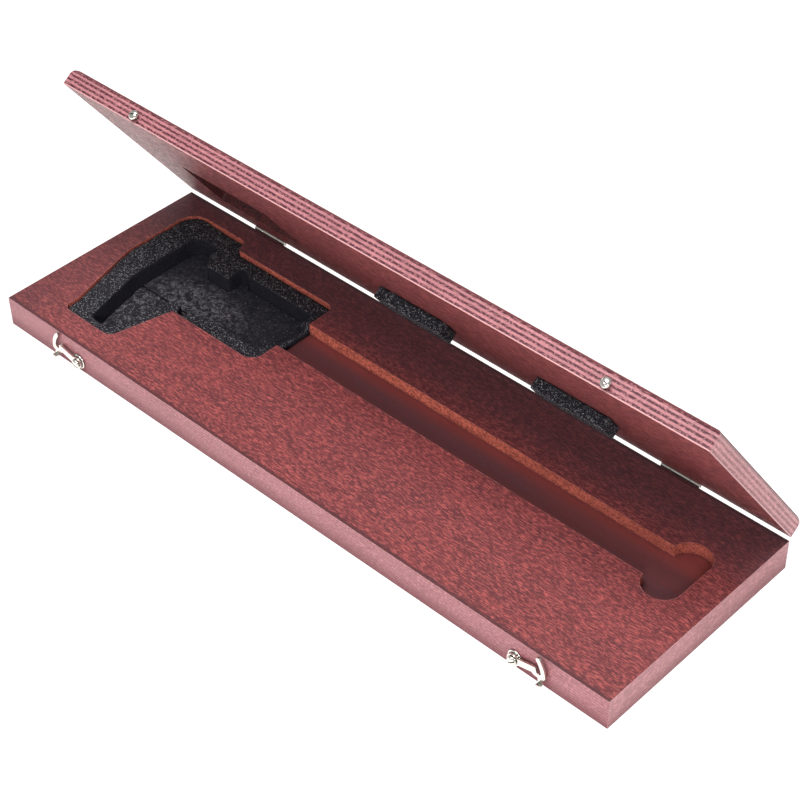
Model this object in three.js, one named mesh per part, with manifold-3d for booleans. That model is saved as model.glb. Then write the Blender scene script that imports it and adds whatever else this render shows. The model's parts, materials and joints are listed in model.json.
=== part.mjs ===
// Fitted wooden case for a 300 mm dial caliper: a routed base board with a foam nest, and a
// hinged lid board held shut by two hooks. Millimetres, +Z up, +X to the right, +Y to the back.
// The origin is the centre of the underside. The lid stands part open.
import * as THREE from 'three';
import { mergeVertices } from 'three/addons/utils/BufferGeometryUtils.js';
import Module from 'manifold-3d';

const wasm = await Module();
wasm.setup();

// ---------- driving dimensions ----------
const CASE_LENGTH = 445;
const CASE_WIDTH = 142;
const BASE_THICKNESS = 19.5;
const LID_THICKNESS = 11;
const LID_OPEN_ANGLE = THREE.MathUtils.degToRad(54);
const FIT_GAP = 0.3;              // clearance between pieces that touch
const BASE_EDGE_RADIUS = 0.5;     // round on the underside edges
const LID_EDGE_RADIUS = 4;        // round on the outer edges of the lid

// nest for the caliper
const BEAM_AXIS_FROM_BACK = 54.3; // centre line of the beam slot, from the back edge
const SLOT_WIDTH = 25.4;
const SLOT_DEPTH = 7.5;
const NOTCH_LENGTH = 45;          // finger notch at the end of the slot
const NOTCH_WIDTH = 22.4;
const NOTCH_FROM_RIGHT = 28.5;
const POCKET_LEFT = 16.5;         // left wall of the head pocket, from the left end
const POCKET_DEPTH = 15.3;
const HEAD_POCKET_LENGTH = 129;
const HEAD_BACK_REACH = 33;       // from the beam axis to the back wall of the head pocket
const HEAD_FRONT_REACH = 31.7;    // from the beam axis to its front wall
const JAW_BACK_REACH = 41.6;      // the short jaws reach further back
const JAW_TIP_REACH = 71.1;       // the long jaws reach towards the front
const FOAM_BELOW_TOP = 3;         // foam stands this far below the top of the board
const FOAM_WALL_LEFT = 18.5;
const FOAM_WALL_RIGHT = 7;
const FOAM_WALL_BACK = 10.9;
const FOAM_WALL_FRONT = 11.5;
const MOUTH_WEB = 3.7;            // thin foam web across the mouth of the slot
const MOUTH_WEB_DROP = 1.2;       // the web is this much lower than the rest of the foam
const MOUTH_WEB_PROUD = 0.8;      // and stands this far into the slot
const HEAD_FLOOR_THICKNESS = 2.4;
const JAW_FLOOR_THICKNESS = 1.6;
const FLOOR_SEAM_REACH = 17.3;    // seam between the floor pads, in front of the beam axis
const FLOOR_SEAM_WIDTH = 0.8;

// lid
const DIAL_RECESS_LEFT = 49;
const DIAL_RECESS_LENGTH = 69;
const DIAL_RECESS_WIDTH = 47;
const DIAL_RECESS_FROM_BACK = 31;
const DIAL_RECESS_DEPTH = 5.5;
const PAD_LENGTH = 48;
const PAD_WIDTH = 17;
const PAD_CLEAR_OF_SLOT_FLOOR = 0.6;
const PAD_BEHIND_BEAM = 1.8;      // the pads press just behind the centre line of the beam
const PAD_CENTRES = { left: 220, right: 331 };

// hooks and their catches, on the front
const HOOK_FROM_LEFT = 61.9;
const HOOK_FROM_RIGHT = 56.8;
const HOOK_PIVOT_BELOW_TOP = 12.5;
const CATCH_OFFSET = -3;          // each catch screw is left of the pivot below it
const CATCH_ABOVE_SEAM = 3.5;
const HOOK_THICKNESS = 1.2;
const HOOK_REST_ANGLE = THREE.MathUtils.degToRad(12);   // the hook is left a little above the table
const EYE_RADIUS = 3.6;
const ARM_WIDTH = 3.4;
const PRONG_WIDTH = 3.1;
const FINGER_WIDTH = 2.4;
const FINGER_TIP_ANGLE = THREE.MathUtils.degToRad(25);  // how far round the catch the finger reaches
const CLAW_TAIL_ANGLE = THREE.MathUtils.degToRad(-13);
const CLAW_MOUTH_ANGLE = THREE.MathUtils.degToRad(12);
const CLAW_CORNER = 2.5;          // round on the tail corners of the claw
const TAB_REACH = 7.6;            // from the hook's seat to the end of its thumb tab
const TAB_WIDTH = 3.6;
const TAB_LIP = 2.2;              // the tab's end is bent this far forward
const SHANK_RADIUS = 1.25;        // hook and catch screws
const SCREW_HEAD_RADIUS = 2.75;
const SCREW_HEAD_HEIGHT = 1.9;
const SCREW_DEPTH = 11;
const WASHER_RADIUS = 4.65;
const WASHER_THICKNESS = 0.7;

// hinges, on the back
const HINGE_FROM_END = 69;
const HINGE_WIDTH = 25;
const MIDDLE_KNUCKLE_WIDTH = 12.5;
const KNUCKLE_RADIUS = 1.6;
const PIN_RADIUS = 0.7;
const LEAF_THICKNESS = 0.8;
const LEAF_HEIGHT = 7;
const HINGE_SCREW_SPACING = 14;
const HINGE_SCREW_FROM_PIN = 4.7;
const HINGE_SHANK_RADIUS = 0.8;
const HINGE_HEAD_RADIUS = 1.7;
const HINGE_HEAD_HEIGHT = 0.9;
const HINGE_SCREW_DEPTH = 8;

// ---------- places worked out from them ----------
const LEFT = -CASE_LENGTH / 2;
const RIGHT = CASE_LENGTH / 2;
const FRONT = -CASE_WIDTH / 2;
const BACK = CASE_WIDTH / 2;
const BEAM_Y = BACK - BEAM_AXIS_FROM_BACK;
const POCKET_FLOOR = BASE_THICKNESS - POCKET_DEPTH;
const SLOT_FLOOR = BASE_THICKNESS - SLOT_DEPTH;
const FOAM_TOP = BASE_THICKNESS - FOAM_BELOW_TOP;
const LID_INNER = BASE_THICKNESS + FIT_GAP;
const PIN_Y = BACK + FIT_GAP + KNUCKLE_RADIUS;
const PIN_Z = BASE_THICKNESS + FIT_GAP / 2;
const PIVOT_Z = BASE_THICKNESS - HOOK_PIVOT_BELOW_TOP;
const CATCH_Z = LID_INNER + CATCH_ABOVE_SEAM;
const HOOK_REACH = Math.hypot(CATCH_OFFSET, CATCH_Z - PIVOT_Z);
const HOOK_BACK_FACE = FIT_GAP + WASHER_THICKNESS + FIT_GAP;
const SCREW_HEAD_STANDOFF = HOOK_BACK_FACE + HOOK_THICKNESS + FIT_GAP;
const SIDES = [
  { side: 'left', hand: -1, pivotX: LEFT + HOOK_FROM_LEFT, hingeX: LEFT + HINGE_FROM_END },
  { side: 'right', hand: 1, pivotX: RIGHT - HOOK_FROM_RIGHT, hingeX: RIGHT - HINGE_FROM_END },
];

// ---------- materials ----------
const woodMaterial = () => new THREE.MeshStandardMaterial({ color: 0x6b2e2c, roughness: 0.5 });
const lidMaterial = () => new THREE.MeshStandardMaterial({ color: 0x7a3a3a, roughness: 0.5 });
const foamMaterial = () => new THREE.MeshStandardMaterial({ color: 0x1c1c20, roughness: 0.95 });
const nickelMaterial = () => new THREE.MeshStandardMaterial({
  color: 0xd9d4c8, roughness: 0.25, metalness: 1,
});

// ---------- solids ----------
function solid(geometry) {
  const bare = geometry.index ? geometry.toNonIndexed() : geometry.clone();
  bare.deleteAttribute('normal');
  bare.deleteAttribute('uv');
  const merged = mergeVertices(bare, 1e-4);
  return new wasm.Manifold(new wasm.Mesh({
    numProp: 3,
    vertProperties: Float32Array.from(merged.attributes.position.array),
    triVerts: Uint32Array.from(merged.index.array),
  }));
}

function mesh(name, body, material) {
  const { numProp, vertProperties, triVerts } = body.getMesh();
  const geometry = new THREE.BufferGeometry();
  const positions = new Float32Array(vertProperties.length / numProp * 3);
  for (let i = 0; i < positions.length / 3; i += 1) {
    positions.set(vertProperties.subarray(i * numProp, i * numProp + 3), i * 3);
  }
  geometry.setAttribute('position', new THREE.BufferAttribute(positions, 3));
  geometry.setIndex(new THREE.BufferAttribute(Uint32Array.from(triVerts), 1));
  geometry.computeVertexNormals();
  const result = new THREE.Mesh(geometry, material);
  result.name = name;
  return result;
}

function box(x0, x1, y0, y1, z0, z1) {
  const geometry = new THREE.BoxGeometry(x1 - x0, y1 - y0, z1 - z0);
  return solid(geometry.translate((x0 + x1) / 2, (y0 + y1) / 2, (z0 + z1) / 2));
}

function extrude(shape, z0, z1, segments = 5) {
  const geometry = new THREE.ExtrudeGeometry(shape, {
    depth: z1 - z0, bevelEnabled: false, curveSegments: segments,
  });
  return solid(geometry.translate(0, 0, z0));
}

// A cylinder along Y ('y') or X ('x').
function rod(axis, radius, start, end, segments = 24) {
  const geometry = new THREE.CylinderGeometry(radius, radius, end - start, segments);
  geometry.translate(0, (start + end) / 2, 0);
  if (axis === 'x') geometry.rotateZ(-Math.PI / 2);
  return solid(geometry);
}

// A turned piece about Y. The profile is [radius, height] pairs, from low to high.
function turned(profile, segments = 28) {
  const points = profile.map(([radius, height]) => new THREE.Vector2(radius, height));
  return solid(new THREE.LatheGeometry(points, segments));
}

// ---------- outlines ----------
// Corners are [x, y, radius], anticlockwise.
function roundedShape(corners) {
  const shape = new THREE.Shape();
  corners.forEach(([x, y, radius], i) => {
    const corner = new THREE.Vector2(x, y);
    const before = new THREE.Vector2(...corners.at(i - 1)).sub(corner);
    const after = new THREE.Vector2(...corners[(i + 1) % corners.length]).sub(corner);
    const turn = Math.sign(after.cross(before));
    const half = Math.acos(before.clone().normalize().dot(after.clone().normalize())) / 2;
    const room = Math.min(before.length(), after.length()) * 0.49;
    const run = Math.min(radius / Math.tan(half), room);
    const used = run * Math.tan(half);
    const from = before.clone().setLength(run).add(corner);
    const to = after.clone().setLength(run).add(corner);
    const inward = before.normalize().add(after.normalize());
    const centre = inward.setLength(used / Math.sin(half)).add(corner);
    if (i === 0) shape.moveTo(from.x, from.y);
    else shape.lineTo(from.x, from.y);
    const startAngle = from.sub(centre).angle();
    const endAngle = to.sub(centre).angle();
    shape.absarc(centre.x, centre.y, used, startAngle, endAngle, turn < 0);
  });
  shape.closePath();
  return shape;
}

// The same corners moved inwards by a distance, with their radii kept concentric.
function inset(corners, distance) {
  return corners.map(([x, y, radius], i) => {
    const corner = new THREE.Vector2(x, y);
    const before = new THREE.Vector2(...corners.at(i - 1));
    const after = new THREE.Vector2(...corners[(i + 1) % corners.length]);
    const into = corner.clone().sub(before).normalize();
    const out = after.sub(corner).normalize();
    const turn = into.cross(out);
    const shift = out.clone().sub(into).multiplyScalar(distance / turn);
    const newRadius = Math.max(radius - Math.sign(turn) * distance, 0.2);
    return [x + shift.x, y + shift.y, newRadius];
  });
}

function sector(innerRadius, outerRadius, start, end) {
  const shape = new THREE.Shape();
  shape.absarc(0, 0, outerRadius, start, end, false);
  shape.absarc(0, 0, innerRadius, end, start, true);
  shape.closePath();
  return shape;
}

function disc(x, y, radius) {
  const shape = new THREE.Shape();
  shape.absarc(x, y, radius, 0, Math.PI * 2, false);
  return shape;
}

// Case board between two heights whose edges are rounded on one face, along all four sides.
function roundedBoard(z0, z1, radius, roundTop) {
  const profile = (reach) => roundedShape([
    [-reach, z0, roundTop ? 0.05 : radius],
    [reach, z0, roundTop ? 0.05 : radius],
    [reach, z1, roundTop ? radius : 0.05],
    [-reach, z1, roundTop ? radius : 0.05],
  ]);
  const across = new THREE.ExtrudeGeometry(profile(CASE_LENGTH / 2), {
    depth: CASE_WIDTH, bevelEnabled: false, curveSegments: 6,
  });
  across.translate(0, 0, -CASE_WIDTH / 2).rotateX(Math.PI / 2);
  const along = new THREE.ExtrudeGeometry(profile(CASE_WIDTH / 2), {
    depth: CASE_LENGTH, bevelEnabled: false, curveSegments: 6,
  });
  along.translate(0, 0, -CASE_LENGTH / 2).rotateX(Math.PI / 2).rotateZ(Math.PI / 2);
  return solid(across).intersect(solid(along));
}

// ---------- the nest ----------
// Distances are from the left end of the case and from the beam axis.
const nestPoint = ([x, y, radius]) => [LEFT + x, BEAM_Y + y, radius];
const HEAD_RIGHT = POCKET_LEFT + HEAD_POCKET_LENGTH;
const JAW_SHOULDER = POCKET_LEFT + 45;   // where the back wall steps in behind the short jaws
const JAW_HEEL = POCKET_LEFT + 62.8;     // where the long jaws leave the head
const JAW_TIP_LEFT = POCKET_LEFT + 13.5;
const JAW_TIP_RIGHT = POCKET_LEFT + 53.2;
const JAW_TAPER_START = 10.7;            // the left wall begins to slant in front of the axis

const pocketCorners = [
  [POCKET_LEFT, -JAW_TAPER_START, 12],
  [JAW_TIP_LEFT, -JAW_TIP_REACH + 10.4, 6],
  [JAW_TIP_LEFT, -JAW_TIP_REACH, 7],
  [JAW_TIP_RIGHT, -JAW_TIP_REACH, 6],
  [JAW_HEEL, -HEAD_FRONT_REACH, 1.5],
  [HEAD_RIGHT, -HEAD_FRONT_REACH, 8],
  [HEAD_RIGHT, HEAD_BACK_REACH, 6],
  [JAW_SHOULDER + 4, HEAD_BACK_REACH, 2],
  [JAW_SHOULDER, JAW_BACK_REACH, 3.5],
  [POCKET_LEFT, JAW_BACK_REACH, 12],
].map(nestPoint);

const CAVITY_LEFT = POCKET_LEFT + FOAM_WALL_LEFT;
const CAVITY_RIGHT = HEAD_RIGHT - FOAM_WALL_RIGHT;
const CAVITY_BACK = HEAD_BACK_REACH - FOAM_WALL_BACK;
const CAVITY_FRONT = -HEAD_FRONT_REACH + FOAM_WALL_FRONT;
const JAW_CAVITY_BACK = JAW_BACK_REACH - 13.3;
const JAW_CAVITY_TIP = -JAW_TIP_REACH + 6.9;
const MOUTH_RIGHT = HEAD_RIGHT + MOUTH_WEB_PROUD - MOUTH_WEB;
const MOUTH_HALF = SLOT_WIDTH / 2 - 1.2;
const NIB_LEFT = JAW_SHOULDER - 9;       // block that holds the head behind the jaws
const NIB_RIGHT = JAW_SHOULDER + 16;
const NIB_FRONT = CAVITY_BACK - 9.3;

const cavityCorners = [
  [CAVITY_LEFT, JAW_CAVITY_BACK, 9],
  [CAVITY_LEFT, -JAW_TAPER_START - 11.3, 6],
  [JAW_TIP_LEFT + 15.5, JAW_CAVITY_TIP, 3],
  [JAW_TIP_RIGHT - 8.9, JAW_CAVITY_TIP, 3],
  [JAW_HEEL - 10.3, -HEAD_FRONT_REACH + 9.2, 2],
  [JAW_HEEL - 4.3, -HEAD_FRONT_REACH + 10.2, 1.5],
  [JAW_HEEL + 0.2, -HEAD_FRONT_REACH + 3.2, 1],
  [JAW_HEEL + 5.7, -HEAD_FRONT_REACH + 4.2, 2],
  [JAW_HEEL + 12.7, CAVITY_FRONT, 3],
  [CAVITY_RIGHT, CAVITY_FRONT, 3],
  [CAVITY_RIGHT, -MOUTH_HALF, 1],
  [MOUTH_RIGHT, -MOUTH_HALF, 1],
  [MOUTH_RIGHT, MOUTH_HALF, 1],
  [CAVITY_RIGHT, MOUTH_HALF, 1],
  [CAVITY_RIGHT, CAVITY_BACK, 2],
  [NIB_RIGHT + 7.5, CAVITY_BACK, 1.5],
  [NIB_RIGHT + 5, CAVITY_BACK + 2.4, 1],
  [NIB_RIGHT, CAVITY_BACK + 2.4, 1],
  [NIB_RIGHT, NIB_FRONT, 1.5],
  [NIB_LEFT + 7, NIB_FRONT, 2],
  [NIB_LEFT, NIB_FRONT + 8.7, 2],
  [NIB_LEFT, JAW_CAVITY_BACK, 2],
].map(nestPoint);

function slotCutter() {
  const notchX = RIGHT - NOTCH_FROM_RIGHT;
  const half = NOTCH_LENGTH / 2;
  const top = BASE_THICKNESS + 1;
  const slotLeft = LEFT + HEAD_RIGHT - 1;
  const slot = box(slotLeft, notchX, BEAM_Y - SLOT_WIDTH / 2, BEAM_Y + SLOT_WIDTH / 2, SLOT_FLOOR, top);
  const notch = roundedShape([
    [notchX - NOTCH_WIDTH / 2, BEAM_Y - half, NOTCH_WIDTH / 2],
    [notchX + NOTCH_WIDTH / 2, BEAM_Y - half, NOTCH_WIDTH / 2],
    [notchX + NOTCH_WIDTH / 2, BEAM_Y + half, NOTCH_WIDTH / 2],
    [notchX - NOTCH_WIDTH / 2, BEAM_Y + half, NOTCH_WIDTH / 2],
  ]);
  return slot.add(extrude(notch, SLOT_FLOOR, top, 10));
}

// Pilot hole in a front or back face: outward is -1 at the front and +1 at the back.
function pilotHole(x, z, outward, radius, depth) {
  const face = outward * CASE_WIDTH / 2;
  const inner = face - outward * (depth + FIT_GAP);
  const outer = face + outward;
  const hole = rod('y', radius + FIT_GAP, Math.min(inner, outer), Math.max(inner, outer), 16);
  return hole.translate([x, 0, z]);
}

function hingeScrewPlaces(hingeX, z) {
  return [-1, 1].map((end) => ({ x: hingeX + end * HINGE_SCREW_SPACING / 2, z }));
}

function baseBoard() {
  let body = roundedBoard(0, BASE_THICKNESS, BASE_EDGE_RADIUS, false);
  body = body.subtract(extrude(roundedShape(pocketCorners), POCKET_FLOOR, BASE_THICKNESS + 1));
  body = body.subtract(slotCutter());
  for (const { pivotX, hingeX } of SIDES) {
    body = body.subtract(pilotHole(pivotX, PIVOT_Z, -1, SHANK_RADIUS, SCREW_DEPTH));
    for (const { x, z } of hingeScrewPlaces(hingeX, PIN_Z - HINGE_SCREW_FROM_PIN)) {
      body = body.subtract(pilotHole(x, z, 1, HINGE_SHANK_RADIUS, HINGE_SCREW_DEPTH));
    }
  }
  return mesh('base_board', body, woodMaterial());
}

function foamSurround() {
  const bottom = POCKET_FLOOR + FIT_GAP;
  const webTop = FOAM_TOP - MOUTH_WEB_DROP;
  const mouthY = SLOT_WIDTH / 2 - FIT_GAP;
  const poke = box(
    LEFT + CAVITY_RIGHT - 1, LEFT + HEAD_RIGHT + MOUTH_WEB_PROUD,
    BEAM_Y - mouthY, BEAM_Y + mouthY, SLOT_FLOOR + FIT_GAP, FOAM_TOP,
  );
  const aboveWeb = box(
    LEFT + CAVITY_RIGHT - 2, LEFT + HEAD_RIGHT + 3,
    BEAM_Y - mouthY - 1, BEAM_Y + mouthY + 1, webTop, FOAM_TOP + 1,
  );
  const body = extrude(roundedShape(inset(pocketCorners, FIT_GAP)), bottom, FOAM_TOP)
    .add(poke)
    .subtract(extrude(roundedShape(cavityCorners), bottom - 1, FOAM_TOP + 1))
    .subtract(aboveWeb);
  return mesh('foam_surround', body, foamMaterial());
}

function floorFoams() {
  const bottom = POCKET_FLOOR + FIT_GAP;
  const outline = roundedShape(inset(cavityCorners, FIT_GAP));
  const seamY = BEAM_Y - FLOOR_SEAM_REACH;
  const headCut = box(LEFT, RIGHT, seamY + FLOOR_SEAM_WIDTH / 2, BACK, 0, BASE_THICKNESS);
  const heelX = LEFT + JAW_HEEL - 4.3;
  const heelCut = box(heelX, RIGHT, FRONT, seamY + FLOOR_SEAM_WIDTH, 0, BASE_THICKNESS);
  const jawRight = heelX - FLOOR_SEAM_WIDTH;
  const jawCut = box(LEFT, jawRight, FRONT, seamY - FLOOR_SEAM_WIDTH / 2, 0, BASE_THICKNESS);
  const head = extrude(outline, bottom, bottom + HEAD_FLOOR_THICKNESS).intersect(headCut.add(heelCut));
  const jaw = extrude(outline, bottom, bottom + JAW_FLOOR_THICKNESS).intersect(jawCut);
  return [mesh('head_floor_foam', head, foamMaterial()), mesh('jaw_floor_foam', jaw, foamMaterial())];
}

// ---------- the lid, drawn shut ----------
function lidBoard() {
  let body = roundedBoard(LID_INNER, LID_INNER + LID_THICKNESS, LID_EDGE_RADIUS, true);
  const recessX = LEFT + DIAL_RECESS_LEFT;
  const recessY = BACK - DIAL_RECESS_FROM_BACK;
  const recess = roundedShape([
    [recessX, recessY - DIAL_RECESS_WIDTH, 2],
    [recessX + DIAL_RECESS_LENGTH, recessY - DIAL_RECESS_WIDTH, 2],
    [recessX + DIAL_RECESS_LENGTH, recessY, 2],
    [recessX, recessY, 2],
  ]);
  body = body.subtract(extrude(recess, LID_INNER - 1, LID_INNER + DIAL_RECESS_DEPTH));
  for (const { pivotX, hingeX } of SIDES) {
    body = body.subtract(pilotHole(pivotX + CATCH_OFFSET, CATCH_Z, -1, SHANK_RADIUS, SCREW_DEPTH));
    for (const { x, z } of hingeScrewPlaces(hingeX, PIN_Z + HINGE_SCREW_FROM_PIN)) {
      body = body.subtract(pilotHole(x, z, 1, HINGE_SHANK_RADIUS, HINGE_SCREW_DEPTH));
    }
  }
  return mesh('lid_board', body, lidMaterial());
}

function lidPad(side) {
  const centre = LEFT + PAD_CENTRES[side];
  const y1 = BEAM_Y + PAD_BEHIND_BEAM + PAD_WIDTH / 2;
  const top = LID_INNER - FIT_GAP;
  const outline = roundedShape([
    [centre - PAD_LENGTH / 2, y1 - PAD_WIDTH, 1.5],
    [centre + PAD_LENGTH / 2, y1 - PAD_WIDTH, 1.5],
    [centre + PAD_LENGTH / 2, y1, 1.5],
    [centre - PAD_LENGTH / 2, y1, 1.5],
  ]);
  const body = extrude(outline, SLOT_FLOOR + PAD_CLEAR_OF_SLOT_FLOOR, top);
  return mesh(`lid_pad_${side}`, body, foamMaterial());
}

// ---------- hooks and screws ----------
// A slotted round-head screw through a front or back face, its axis along Y.
function screw(name, x, z, outward, size) {
  const head = [
    [0, -size.depth],
    [size.shank, -size.depth + size.shank],
    [size.shank, size.standoff],
    [size.head, size.standoff],
    [size.head, size.standoff + size.height * 0.3],
    [size.head * 0.86, size.standoff + size.height * 0.66],
    [size.head * 0.55, size.standoff + size.height * 0.91],
    [0, size.standoff + size.height],
  ];
  const slotHalf = size.head * 0.13;
  const slotBottom = size.standoff + size.height * 0.45;
  const slot = box(-size.head, size.head, slotBottom, slotBottom + size.height, -slotHalf, slotHalf);
  let body = turned(head, size.segments).subtract(slot.rotate([0, size.slotTurn, 0]));
  if (outward < 0) body = body.rotate([0, 0, 180]);
  return mesh(name, body.translate([x, outward * CASE_WIDTH / 2, z]), nickelMaterial());
}

const hookScrewSize = (slotTurn) => ({
  depth: SCREW_DEPTH, shank: SHANK_RADIUS, standoff: SCREW_HEAD_STANDOFF,
  head: SCREW_HEAD_RADIUS, height: SCREW_HEAD_HEIGHT, segments: 28, slotTurn,
});

const hingeScrewSize = (slotTurn) => ({
  depth: HINGE_SCREW_DEPTH, shank: HINGE_SHANK_RADIUS, standoff: FIT_GAP + LEAF_THICKNESS + FIT_GAP,
  head: HINGE_HEAD_RADIUS, height: HINGE_HEAD_HEIGHT, segments: 20, slotTurn,
});

// A dished washer with a raised rim, on the front face.
function hookWasher({ side, pivotX }) {
  const bore = SHANK_RADIUS + FIT_GAP;
  const thick = WASHER_THICKNESS;
  const ring = [
    [bore, 0], [WASHER_RADIUS, 0], [WASHER_RADIUS, thick * 0.6], [WASHER_RADIUS - 0.35, thick],
    [WASHER_RADIUS - 0.8, thick], [WASHER_RADIUS - 1.1, thick * 0.7], [bore, thick * 0.7], [bore, 0],
  ];
  const body = turned(ring, 36).rotate([0, 0, 180]);
  const placed = body.translate([pivotX, FRONT - FIT_GAP, PIVOT_Z]);
  return mesh(`hook_washer_${side}`, placed, nickelMaterial());
}

// The hook is drawn about its pivot with its seat on +X, then turned down to where it hangs.
function hook({ side, hand, pivotX }) {
  const bore = SHANK_RADIUS + FIT_GAP;
  const inner = HOOK_REACH - bore;
  const outer = HOOK_REACH + bore;
  const prongInner = inner - PRONG_WIDTH;
  const fingerOuter = outer + FINGER_WIDTH;
  const fingerMiddle = (outer + fingerOuter) / 2;
  const clawEnd = CLAW_MOUTH_ANGLE * 0.75;
  const clawMiddle = (prongInner + fingerOuter) / 2;
  const polar = (radius, angle) => [Math.cos(angle) * radius, Math.sin(angle) * radius];
  const armEnd = prongInner + PRONG_WIDTH / 2;
  const plate = (shape, segments) => extrude(shape, 0, HOOK_THICKNESS, segments);
  const arm = roundedShape([
    [0, -ARM_WIDTH / 2 - 0.4, 0.3], [armEnd, -ARM_WIDTH / 2 + 0.2, 0.3],
    [armEnd, ARM_WIDTH / 2 + 0.6, 0.3], [0, ARM_WIDTH / 2 + 0.4, 0.3],
  ]);
  const neck = TAB_WIDTH / 2 - 0.6;
  const tab = roundedShape([
    [HOOK_REACH - TAB_WIDTH / 2, -TAB_REACH, 0.6], [HOOK_REACH + TAB_WIDTH / 2, -TAB_REACH, 0.6],
    [HOOK_REACH + neck, -TAB_REACH * 0.66, 0.4], [HOOK_REACH + neck, -3, 0.2],
    [HOOK_REACH - neck, -3, 0.2], [HOOK_REACH - neck, -TAB_REACH * 0.66, 0.4],
  ]);
  const lip = box(
    HOOK_REACH - TAB_WIDTH / 2 + 0.5, HOOK_REACH + TAB_WIDTH / 2 - 0.5,
    -TAB_REACH, -TAB_REACH + 1.1, HOOK_THICKNESS / 2, HOOK_THICKNESS + TAB_LIP,
  );
  const tailInner = prongInner + CLAW_CORNER;
  const tailOuter = fingerOuter - CLAW_CORNER;
  const innerStart = CLAW_TAIL_ANGLE + Math.asin(CLAW_CORNER / tailInner);
  const outerStart = CLAW_TAIL_ANGLE + Math.asin(CLAW_CORNER / tailOuter);
  let body = plate(disc(0, 0, EYE_RADIUS), 28)
    .add(plate(arm))
    .add(plate(sector(tailInner, tailOuter, CLAW_TAIL_ANGLE, clawEnd), 8))
    .add(plate(sector(prongInner, clawMiddle, innerStart, clawEnd), 8))
    .add(plate(sector(clawMiddle, fingerOuter, outerStart, clawEnd), 8))
    .add(plate(disc(...polar(tailInner, innerStart), CLAW_CORNER), 16))
    .add(plate(disc(...polar(tailOuter, outerStart), CLAW_CORNER), 16))
    .add(plate(sector(outer, fingerOuter, clawEnd - 0.02, FINGER_TIP_ANGLE), 8))
    .add(plate(disc(...polar(fingerMiddle, FINGER_TIP_ANGLE), FINGER_WIDTH / 2), 16))
    .add(plate(tab))
    .add(lip);
  body = body
    .subtract(extrude(disc(0, 0, bore), -1, HOOK_THICKNESS + 1, 20))
    .subtract(extrude(disc(HOOK_REACH, 0, bore), -1, HOOK_THICKNESS + 1, 20))
    .subtract(extrude(sector(inner, outer, 0, CLAW_MOUTH_ANGLE), -1, HOOK_THICKNESS + 1, 6));
  body = body.rotate([0, 0, THREE.MathUtils.radToDeg(HOOK_REST_ANGLE)]);
  if (hand < 0) body = body.mirror([1, 0, 0]);
  body = body.rotate([90, 0, 0]).translate([pivotX, FRONT - HOOK_BACK_FACE, PIVOT_Z]);
  return mesh(`hook_${side}`, body, nickelMaterial());
}

// ---------- hinges ----------
// One leaf, drawn shut. It carries either the middle knuckle or the two end knuckles.
function hingeLeaf(name, hingeX, up, carriesMiddle) {
  const half = HINGE_WIDTH / 2;
  const middle = MIDDLE_KNUCKLE_WIDTH / 2;
  const gap = FIT_GAP / 2;
  const ends = [[-half, -middle - gap], [middle + gap, half]];
  const centre = [[-middle + gap, middle - gap]];
  const own = carriesMiddle ? centre : ends;
  const aroundMiddle = [[-half - 1, -middle + gap], [middle - gap, half + 1]];
  const others = carriesMiddle ? aroundMiddle : [[-middle - gap, middle + gap]];
  let body = box(
    -half, half, -KNUCKLE_RADIUS, -KNUCKLE_RADIUS + LEAF_THICKNESS,
    up ? 0 : -LEAF_HEIGHT, up ? LEAF_HEIGHT : 0,
  );
  for (const [x0, x1] of others) body = body.subtract(rod('x', KNUCKLE_RADIUS + FIT_GAP, x0, x1));
  for (const [x0, x1] of own) body = body.add(rod('x', KNUCKLE_RADIUS, x0, x1));
  body = body.subtract(rod('x', PIN_RADIUS + FIT_GAP, -half - 1, half + 1, 16));
  const screwZ = up ? HINGE_SCREW_FROM_PIN : -HINGE_SCREW_FROM_PIN;
  for (const { x, z } of hingeScrewPlaces(0, screwZ)) {
    const hole = rod('y', HINGE_SHANK_RADIUS + FIT_GAP, -KNUCKLE_RADIUS - 1, 0, 16);
    body = body.subtract(hole.translate([x, 0, z]));
  }
  return mesh(name, body.translate([hingeX, PIN_Y, PIN_Z]), nickelMaterial());
}

function hingePin(name, hingeX) {
  const pin = rod('x', PIN_RADIUS, -HINGE_WIDTH / 2 - 0.4, HINGE_WIDTH / 2 + 0.4, 20);
  return mesh(name, pin.translate([hingeX, PIN_Y, PIN_Z]), nickelMaterial());
}

// ---------- assembly ----------
const base = new THREE.Group();
base.add(baseBoard(), foamSurround(), ...floorFoams());

const lid = new THREE.Group();
lid.add(lidBoard(), lidPad('left'), lidPad('right'));

for (const place of SIDES) {
  const { side, hand, pivotX, hingeX } = place;
  base.add(hookWasher(place), hook(place));
  base.add(screw(`hook_screw_${side}`, pivotX, PIVOT_Z, -1, hookScrewSize(30 * hand)));
  lid.add(screw(`catch_screw_${side}`, pivotX + CATCH_OFFSET, CATCH_Z, -1, hookScrewSize(-20 * hand)));
  base.add(hingeLeaf(`hinge_${side}_base_leaf`, hingeX, false, false));
  base.add(hingePin(`hinge_${side}_pin`, hingeX));
  lid.add(hingeLeaf(`hinge_${side}_lid_leaf`, hingeX, true, true));
  hingeScrewPlaces(hingeX, PIN_Z - HINGE_SCREW_FROM_PIN).forEach(({ x, z }, i) => {
    base.add(screw(`hinge_${side}_base_screw_${'ab'[i]}`, x, z, 1, hingeScrewSize(25 + 40 * i)));
  });
  hingeScrewPlaces(hingeX, PIN_Z + HINGE_SCREW_FROM_PIN).forEach(({ x, z }, i) => {
    lid.add(screw(`hinge_${side}_lid_screw_${'ab'[i]}`, x, z, 1, hingeScrewSize(-15 + 55 * i)));
  });
}

// The lid turns about the hinge pins.
const lidHinge = new THREE.Group();
lidHinge.position.set(0, PIN_Y, PIN_Z);
lidHinge.rotation.x = -LID_OPEN_ANGLE;
lid.position.set(0, -PIN_Y, -PIN_Z);
lidHinge.add(lid);

const caliperCase = new THREE.Group();
caliperCase.add(base, lidHinge);

export default caliperCase;
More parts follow.
